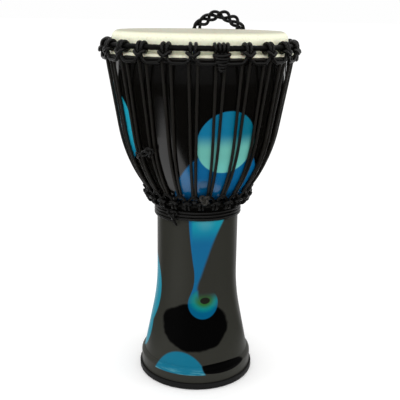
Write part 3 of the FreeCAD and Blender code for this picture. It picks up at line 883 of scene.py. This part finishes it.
# %% [markdown]
# ## The tuning rope
# A second rope zigzags between the two rows of loops and pulls the skin tight. Each leg drops straight
# from the upper loop, touches the belly of the bowl and follows it down to the lower loop. The rope is made
# in four lengths, one for each quarter.

# %% Tuning rope
BELLY_ARC = (253.0 * MM, -111.6 * MM, 512.8 * MM)     # radius, and its centre's place and height
LEG_OFF = 2.95 * MM               # from the shell's face to the middle of a leg
LEG_TOP = (161.4 * MM, 589 * MM)
LEG_LOW = 369 * MM
TOP_SPREAD = 5.0                  # degrees from a loop's middle to a leg, at its top and at its foot
LOW_SPREAD = 6.0


def leg_radius(height):
    """Distance of a leg's middle from the axis. It is the belly arc, moved out, below the tangent from the
    leg's top, and the tangent itself above."""
    radius, centre_r, centre_z = BELLY_ARC
    radius = radius + LEG_OFF
    to_top = np.array([LEG_TOP[0] - centre_r, LEG_TOP[1] - centre_z])
    reach = np.hypot(*to_top)
    touch = math.atan2(to_top[1], to_top[0]) - math.acos(radius / reach)
    touch_r, touch_z = centre_r + radius * math.cos(touch), centre_z + radius * math.sin(touch)
    straight = touch_r + (height - touch_z) * (LEG_TOP[0] - touch_r) / (LEG_TOP[1] - touch_z)
    arc = centre_r + np.sqrt(np.maximum(radius**2 - (height - centre_z) ** 2, 0))
    return np.where(height > touch_z, straight, arc)


def on_drum(radius, angle, height):
    """A point from its distance to the axis, its angle in degrees and its height."""
    angle = np.radians(angle)
    return np.stack(np.broadcast_arrays(radius * np.sin(angle), -radius * np.cos(angle), height), -1)


def leg_points(middle, side):
    """One leg from top to foot: the angle changes evenly with the height."""
    height = np.linspace(LEG_TOP[1] - 2 * MM, LEG_LOW, 14)
    share = (LEG_TOP[1] - height) / (LEG_TOP[1] - LEG_LOW)
    spread = TOP_SPREAD + (LOW_SPREAD - TOP_SPREAD) * share
    return on_drum(leg_radius(height), middle + side * spread, height)


def top_run(middle):
    """From one leg over to the next, just above the upper loop and behind it."""
    spread = np.array([-4.9, -4.3, 0, 4.3, 4.9])
    reach = np.array([163.2, 164.6, 164.8, 164.6, 163.2]) * MM
    height = np.array([592.6, 595.0, 595.0, 595.0, 592.6]) * MM
    return on_drum(reach, middle + spread, height)


def low_turn(middle):
    """A tight turn under the crest of a lower loop, from the leg on its left to the leg on its right."""
    spread = np.array([-1.55, -0.8, 0, 0.8, 1.55])
    reach = np.array([96.6, 95.0, 94.4, 95.0, 96.6]) * MM
    height = np.array([363.0, 358.8, 357.6, 358.8, 363.0]) * MM
    return on_drum(reach, middle + spread, height)


# %% Four quarters
LOOPS_EACH = HITCHES // 4
QUARTERS = {"front": 0, "right": LOOPS_EACH, "back": 2 * LOOPS_EACH, "left": 3 * LOOPS_EACH}
for name, first in QUARTERS.items():
    points = []
    for k in range(first - 3, first - 3 + LOOPS_EACH):
        middle = KNOT_AT + PITCH * (k + 0.5)
        points += [low_turn(middle - PITCH / 2)[2:], leg_points(middle, -1)[::-1], top_run(middle),
                   leg_points(middle, 1), low_turn(middle + PITCH / 2)[:2]]
    line = smooth_line(np.vstack(points), step=2.0 * MM)
    rope = make_piece(f"tuning_rope_{name}", [rope_grid(line, ROPE)], None, LEG_FINISH)
    on_drum(0.1, 0, LEG_LOW).tolist()
    on_drum(0.1, 0, LEG_TOP[1]).tolist()
    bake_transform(rope)
    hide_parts(f"tuning_ropes_{name}")

# %% [markdown]
# ## The lower loops
# The lower ring carries the same hitches the other way up. Its loops rise between them, and each turn of
# the tuning rope hooks under a crest. This row is tied tighter, because the ring is little more than half
# as wide.

# %% Lower rope
LOW_HITCH = np.array([
    (-8.8, 9.8, -18), (-5.2, 7.8, -14.6), (-2.8, 6.6, -10), (-2.5, 6.3, -6), (-2.8, 5.9, -1),
    (-3, 4.2, 4.2), (-3.1, 0, 5.9), (-3.2, -4.4, 3.9), (-3.6, -5.9, -1), (-4.4, -3.9, -4.6),
    (-5.8, 1, -6.2), (-6.7, 5.8, -5.2), (-5, 8.9, -5.2), (0, 10.3, -7.6)]) * MM
CREST = (11.5 * MM, -20.0 * MM)
low_places = KNOT_AT + PITCH / 2 + PITCH * np.arange(HITCHES)
low_row = hitch_row(LOW_HITCH, low_places, LOW_R, LOW_Z, -1, *CREST, PITCH)
low_line = smooth_line(low_row, closed=True, step=FINE)
lower = make_piece("lower_rope", [rope_grid(low_line, ROPE, closed=True)], "root", ROPE_FINISH)
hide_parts("bottom_hitches", "bottom_loops")
print(f"lower rope: {len(low_line) * FINE:.1f} m")

# %% [markdown]
# ## Stopper knots
# A loose end is stopped with a small overhand knot. Its line is a trefoil: it winds three times about its
# own middle while it goes round twice.

# %% Stopper knots
def trefoil(centre_angle, centre_reach, centre_z, size, lean=0.0):
    """Points of a trefoil laid flat against the drum: sideways = sin t + 2 sin 2t, up = cos t - 2 cos 2t,
    and outwards = -sin 3t, all times the size."""
    t = np.linspace(0, 2 * math.pi, 28, endpoint=False) + lean
    side = (np.sin(t) + 2 * np.sin(2 * t)) * size
    up = (np.cos(t) - 2 * np.cos(2 * t)) * size
    return round_drum(side, -np.sin(3 * t) * size * 1.1, up, centre_angle, centre_reach, centre_z)


# Painted highlight: the knot's colours are lighter than the other rope's, for the highlights on it.
KNOT_YARN = rope_finish("knot rope, painted highlight", tint(12, 12, 11), tint(54, 52, 48))
KNOT_RAISE = 4 * MM               # the knot sits this much higher than its CAD stand-in
low_knot_z = (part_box("bottom_knot")[0].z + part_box("bottom_knot")[1].z) / 2 + KNOT_RAISE
knot_line = smooth_line(trefoil(6.5, LOW_R + 15 * MM, low_knot_z, 2.6 * MM), closed=True, step=FINEST)
knot_grid = rope_grid(knot_line, 2.3 * MM, closed=True)
stopper = make_piece("lower_knot", [knot_grid], "root", KNOT_YARN)
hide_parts("bottom_knot")

# %% [markdown]
# ## Coils at the neck
# What is left of the tuning rope is wound three times round the neck as a long helix. Its end is tied off
# towards the left, in a small knot that lies on the turns, and a short tail hangs below them.

# %% Neck coils
COIL_ROPE = 2.65 * MM
COIL_R = NECK_R + 2.7 * MM
COIL_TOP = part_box("neck_coil_1")[1].z - ROPE + 0.6 * MM
COIL_TURNS = 3.1
COIL_DROP = 5.75 * MM             # height lost in one turn
COIL_END = -32                    # degrees from the front
TIE_AT = -31.5
coil_angle = np.linspace(COIL_END - 360 * COIL_TURNS, COIL_END, 200)
coil_height = COIL_TOP - COIL_DROP * np.linspace(0, COIL_TURNS, 200)
coil_line = even_line(on_drum(COIL_R, coil_angle, coil_height), 1.8 * MM)
coil_low = coil_height[-1]
tie_points = trefoil(TIE_AT, NECK_R + 9.6 * MM, coil_low + 14 * MM, 2.9 * MM, 0.4)
tie_line = smooth_line(tie_points, closed=True, step=FINEST)
TAIL = np.array([(0, 9.5, 8), (2.0, 9.0, 2), (3.5, 6.0, -4), (5.0, 3.4, -8.5)]) * MM
tail_line = smooth_line(round_drum(TAIL[:, 0], TAIL[:, 1], TAIL[:, 2], TIE_AT, NECK_R, coil_low))
coils = make_piece("neck_coils", [rope_grid(coil_line, COIL_ROPE)], "root", ROPE_FINISH)
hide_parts("neck_coil_1", "neck_coil_2", "neck_coil_3")
tie = make_piece("neck_knot", [rope_grid(tie_line, 2.4 * MM, closed=True), rope_grid(tail_line, 2.3 * MM)],
                 "root", ROPE_FINISH)
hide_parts("neck_tie_knot")

# %% [markdown]
# ## The woven end
# The free end of the tuning rope is pulled over and under a few legs, which locks it. It ends in a knot.

# %% Woven end
WEAVE = np.array([                    # angle in degrees, distance out from the legs' line, height
    (-50.5, 1.0, 425), (-48.2, 5.6, 429), (-45.6, 5.4, 434), (-43.6, 1.5, 437), (-41.6, 5.6, 440),
    (-39.0, 6.0, 442.5), (-36.2, 5.6, 444)])
SECOND_RISE = np.array([10, 6, 1, -4, -6, -4, 0])
OUT_SUM = 6.6                         # both strands' distances out add up to this
WEAVE_KNOT = (-34.6, 443 * MM)
weave_z = WEAVE[:, 2] * MM
weave_r = leg_radius(weave_z) + WEAVE[:, 1] * MM
weave_line = smooth_line(on_drum(weave_r, WEAVE[:, 0], weave_z))
second_z = weave_z + SECOND_RISE * MM
second_r = leg_radius(second_z) + (OUT_SUM * MM - WEAVE[:, 1] * MM)
second_line = smooth_line(on_drum(second_r, WEAVE[:, 0], second_z))
knot_r = float(leg_radius(WEAVE_KNOT[1])) + 6.5 * MM
knot_points = trefoil(WEAVE_KNOT[0], knot_r, WEAVE_KNOT[1], 2.4 * MM, 0.9)
weave_knot = smooth_line(knot_points, closed=True, step=FINEST)
woven_grids = [rope_grid(weave_line, ROPE), rope_grid(second_line, ROPE),
               rope_grid(weave_knot, 2.4 * MM, closed=True)]
woven = make_piece("woven_end", woven_grids, "root", ROPE_FINISH)
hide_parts("woven_tail")

# %% [markdown]
# ## The handle
# Three strands are plaited into an open braid and stand as an arch at the back. Each strand swings from the
# outer side of the arch to the inner side, and passes in front of its neighbours and then behind them. Two
# waves give that: one across the arch, and one of twice the pace in depth.

# %% Handle
HANDLE_AT = 168.2
HANDLE_HALF = 17.4                # degrees from its middle to each foot
STRANDS = 3
BRAID_LENGTH = 54 * MM            # one whole swing of a strand
BRAID_WIDE = 6.8 * MM
BRAID_DEEP = 3.1 * MM
HANDLE_ROPE = 3.1 * MM
ARCH_STEP = 0.8 * MM
PINCHED = 0.22                    # the plait's width at its feet, as a share of the whole
PINCH_LENGTH = 25 * MM
ARCH = np.array([                 # to the side, and height, in millimetres
    (-42.5, 617), (-43, 628), (-39, 640), (-22, 652), (4, 661),
    (29, 652), (44.5, 640), (46.5, 628), (42.5, 617)]) * MM
arch = even_line(smooth_line(np.insert(ARCH, 1, 0, axis=1)), ARCH_STEP)
arch_along = np.arange(len(arch)) * ARCH_STEP
arch_ahead = np.gradient(arch, axis=0)
arch_ahead /= np.linalg.norm(arch_ahead, axis=1)[:, None]
arch_out = np.stack([-arch_ahead[:, 2], np.zeros(len(arch)), arch_ahead[:, 0]], -1)
pinch = np.clip(np.minimum(arch_along, arch_along[-1] - arch_along) / PINCH_LENGTH, 0, 1)
pinch = PINCHED + (1 - PINCHED) * pinch * pinch * (3 - 2 * pinch)
face = np.array([math.sin(math.radians(HANDLE_AT)), -math.cos(math.radians(HANDLE_AT)), 0])
sideways = np.array([face[1], -face[0], 0])
seat_r = CROWN_R * math.cos(math.radians(HANDLE_HALF / 1.6))


def stand(points):
    """Arch points (sideways, outwards, up) as points of the drum."""
    return points[:, :1] * sideways + (points[:, 1:2] + seat_r) * face + points[:, 2:] * np.array([0, 0, 1])


# %% Plait
handle_grids = []
for k in range(STRANDS):
    swing = 2 * math.pi * (arch_along / BRAID_LENGTH + k / STRANDS + 0.12)
    slow = np.sin(arch_along / (15 * MM) + 2.1 * k)
    quick = np.sin(arch_along / (7.3 * MM) + k)
    uneven = 1 + 0.18 * slow + 0.10 * quick
    swing = swing + 0.34 * np.sin(arch_along / (17 * MM) + 1.7 * k)
    across_it = BRAID_WIDE * np.cos(swing) * pinch * uneven
    depth = BRAID_DEEP * np.sin(2 * swing) * pinch
    strand = arch + arch_out * across_it[:, None]
    strand[:, 1] += depth
    handle_grids.append(rope_grid(even_line(stand(strand), FINE), HANDLE_ROPE))
handle = make_piece("handle_plait", handle_grids, "handle", HANDLE_FINISH)
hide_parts("handle_braid")
foot_gap = np.hypot(*(stand(arch[:1])[0][:2])) - CROWN_R
plait_mm = arch_along[-1] * 1000
print(f"handle: {plait_mm:.0f} mm of plait, its foot {foot_gap * 1000:.1f} mm from the ring's line")

# %% [markdown]
# ## Handle lashings
# A short length of rope is wound round the crown ring at each foot of the handle, so it can fold but not
# slide. It is a helix round the ring's own curved line.

# %% Lashings
LASH_TURNS = 4.5
LASH_STEP = 5.15 * MM
LASH_R = CROWN_ROD + ROPE + 0.15 * MM
lash = np.linspace(0, 1, 140)
lash_turn = lash * LASH_TURNS * 2 * math.pi + math.pi / 2
for name in ("left", "right"):
    low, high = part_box(f"handle_lashing_{name}")
    lash_at = math.degrees(math.atan2((low.x + high.x) / 2, -(low.y + high.y) / 2))
    run = (lash - 0.5) * LASH_TURNS * LASH_STEP
    wound = round_drum(run, LASH_R * np.cos(lash_turn), LASH_R * np.sin(lash_turn), lash_at)
    lashing = make_piece(f"handle_binding_{name}", [rope_grid(even_line(wound, FINE), ROPE)],
                         "head_rings", HANDLE_FINISH)
    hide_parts(f"handle_lashing_{name}")
